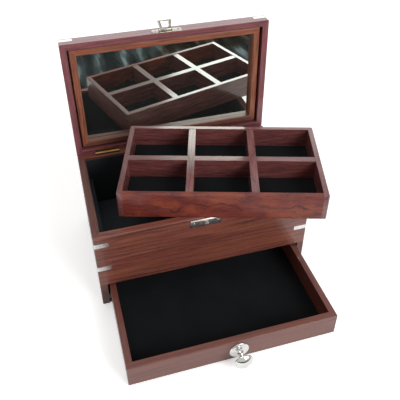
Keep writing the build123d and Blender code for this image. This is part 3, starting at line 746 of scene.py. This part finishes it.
def makeHookPlate():
    look = hookPlate
    shapes = [
        addBar(
            "hookSheet", (look["left"], look["face"], look["low"]),
            (look["right"], look["wood"], look["high"]), look["sheetRound"],
        ),
        makeLip(),
        addBar(
            "hookArm", (look["hookLeft"], look["hookTip"], look["hookTop"] - look["thick"]),
            (look["hookRight"], look["face"] + look["hookLap"], look["hookTop"]), look["hookRound"],
        ),
    ]
    middle = (look["hookLeft"] + look["hookRight"]) / 2
    for left, right in (
        (look["hookLeft"], middle - look["slot"] / 2),
        (middle + look["slot"] / 2, look["hookRight"]),
    ):
        low = (left, look["hookTip"], look["hookFoot"])
        high = (right, look["hookTip"] + look["thick"], look["hookTop"] - look["prongLap"])
        shapes.append(addBar("hookProng", low, high, look["hookRound"]))
    piece = joinShapes("catchHookPressing", shapes)
    fitPiece(piece, Matrix.Identity(4), satin, "case", "bright_metal", "catch_hook_plate")


makeLidCatch()
makeLoop()
makeHookPlate()
print("catch pressed")


# Floor, background and light

studio = {
    "floorSize": 8.0, "floorColour": "#f4f4f3", "floorLift": 0.42,
    "worldLight": 0.4,
    "window": {"from": (0.50, -0.83, 0.53), "distance": 1.6, "size": (0.9, 0.9), "power": 22.0},
    "ceiling": {"from": (-0.25, 0.1, 1.0), "distance": 1.7, "size": (1.2, 1.2), "power": 8.0},
    "backWindow": {"from": (0.1, 1.0, 0.42), "distance": 1.6, "size": (3.4, 0.9), "power": 10.0},
    # a dark cloth in front of the object, which only the mirror and the metal see; it glows rather than being
    # lit, with painted sheen on its folds
    "clothNear": -0.275, "clothFar": -1.1, "clothLeft": -0.6, "clothRight": 0.9, "clothHeight": 0.001,
}


def seenDirectly(tree):
    # 1 for what the camera, a mirror or glass sees, 0 for light on the object
    path = addNode(tree, "ShaderNodeLightPath")
    seen = path.outputs["Is Camera Ray"]
    for other in ("Is Glossy Ray", "Is Transmission Ray"):
        seen = addNode(
            tree, "ShaderNodeMath", {"operation": "MAXIMUM"}, {0: seen, 1: path.outputs[other]}
        ).outputs["Value"]
    return seen


def makeFloor():
    bpy.ops.object.select_all(action="DESELECT")
    bpy.ops.mesh.primitive_plane_add(size=studio["floorSize"], location=(0, 0, 0))
    floor = bpy.context.object
    floor.name = "floor"
    material, tree, output = startMaterial("paleStudioFloor")
    seen = seenDirectly(tree)
    strength = addNode(
        tree, "ShaderNodeMath", {"operation": "MULTIPLY", 1: studio["floorLift"]}, {0: seen}
    ).outputs["Value"]
    glow = addNode(tree, "ShaderNodeEmission", links={"Strength": strength})
    paint = addNode(tree, "ShaderNodeBsdfDiffuse", {"Color": linearColour(studio["floorColour"])})
    both = addNode(tree, "ShaderNodeAddShader", links={0: glow.outputs[0], 1: paint.outputs[0]})
    tree.links.new(both.outputs[0], output.inputs["Surface"])
    floor.data.materials.append(material)


def makeCloth():
    # the dark room in front of the object, as the mirror shows it: folds of a near-black cloth, glowing by
    # emission, with pale painted sheen streaks
    bpy.ops.object.select_all(action="DESELECT")
    bpy.ops.mesh.primitive_plane_add(size=1.0, location=(0, 0, 0))
    cloth = bpy.context.object
    cloth.name = "darkCloth"
    across = studio["clothRight"] - studio["clothLeft"]
    along = studio["clothNear"] - studio["clothFar"]
    centre = (studio["clothLeft"] + across / 2, studio["clothFar"] + along / 2, studio["clothHeight"])
    bpy.ops.object.mode_set(mode="EDIT")
    bpy.ops.mesh.select_all(action="SELECT")
    bpy.ops.transform.resize(value=(across, along, 1), center_override=(0, 0, 0))
    bpy.ops.transform.translate(value=centre)
    bpy.ops.object.mode_set(mode="OBJECT")
    material, tree, output = startMaterial("darkRoomClothPaintedGlow")
    place = addNode(tree, "ShaderNodeTexCoord").outputs["Object"]
    folds = addNode(
        tree, "ShaderNodeMapping", {"Scale": (26.0, 5.0, 1.0)}, {"Vector": place},
    ).outputs["Vector"]
    fold = addNode(
        tree, "ShaderNodeTexNoise", {"Scale": 1.0, "Detail": 3.0}, {"Vector": folds},
    ).outputs["Fac"]
    broad = addNode(
        tree, "ShaderNodeTexNoise", {"Scale": 6.0, "Detail": 2.0}, {"Vector": place},
    ).outputs["Fac"]
    # painted sheen: the pale streaks along the folds
    colour = addRamp(tree, fold, ((0.42, "#24282a"), (0.54, "#464c4e"), (0.66, "#98a6ac")))
    tint = addRamp(tree, broad, ((0.5, "#ffffff"), (0.6, "#c09880")))
    both = addNode(
        tree, "ShaderNodeMix", {"data_type": "RGBA", "blend_type": "MULTIPLY", 0: 1.0}, {6: colour, 7: tint}
    ).outputs[2]
    glow = addNode(tree, "ShaderNodeEmission", {"Strength": 1.0}, {"Color": both})
    tree.links.new(glow.outputs[0], output.inputs["Surface"])
    cloth.data.materials.append(material)
    for ray in ("visible_camera", "visible_diffuse", "visible_shadow", "visible_transmission"):
        setattr(cloth, ray, False)


def makeWorld():
    world = bpy.data.worlds.new("paleStudio")
    bpy.context.scene.world = world
    world.use_nodes = True
    tree = world.node_tree
    tree.nodes.clear()
    seen = seenDirectly(tree)
    strength = addNode(
        tree, "ShaderNodeMapRange", {"To Min": studio["worldLight"], "To Max": 1.0}, {"Value": seen}
    ).outputs["Result"]
    glow = addNode(tree, "ShaderNodeBackground", links={"Strength": strength})
    output = addNode(tree, "ShaderNodeOutputWorld")
    tree.links.new(glow.outputs[0], output.inputs["Surface"])


def addSoftbox(name, aim):
    box = studio[name]
    lamp = bpy.data.lights.new(name, "AREA")
    lamp.shape = "RECTANGLE"
    lamp.size, lamp.size_y = box["size"]
    lamp.energy = box["power"]
    softbox = bpy.data.objects.new(name, lamp)
    bpy.context.scene.collection.objects.link(softbox)
    away = Vector(box["from"]).normalized()
    softbox.location = aim + away * box["distance"]
    softbox.rotation_mode = "QUATERNION"
    softbox.rotation_quaternion = away.to_track_quat("Z", "Y")


def makeLights():
    low, high = loadedBox
    for name in ("window", "ceiling", "backWindow"):
        addSoftbox(name, (low + high) / 2)


makeFloor()
makeCloth()
makeWorld()
makeLights()
print("studio lit")


# Camera: where the photograph was taken from, close and a little to the left

photographer = {
    "place": (-0.1305, -0.5003, 0.5250),
    "right": (0.96172, -0.27398, -0.00460),
    "down": (-0.16812, -0.57671, -0.79946),
    "ahead": (0.21638, 0.76963, -0.60070),
    "lens": 48.80, "sensor": 36.0, "shift": (0.00905, -0.10915),
}


def makeCamera():
    data = bpy.data.cameras.new("photographer")
    data.lens = photographer["lens"]
    data.sensor_width = photographer["sensor"]
    data.shift_x, data.shift_y = photographer["shift"]
    data.clip_start, data.clip_end = 0.01, 30.0
    camera = bpy.data.objects.new("photographer", data)
    bpy.context.scene.collection.objects.link(camera)
    right = Vector(photographer["right"])
    up = -Vector(photographer["down"])
    back = -Vector(photographer["ahead"])
    turn = Matrix((right, up, back)).transposed()
    camera.matrix_world = Matrix.Translation(photographer["place"]) @ turn.to_4x4()
    bpy.context.scene.camera = camera


makeCamera()
bpy.context.scene.view_settings.view_transform = "Standard"
print("camera set")
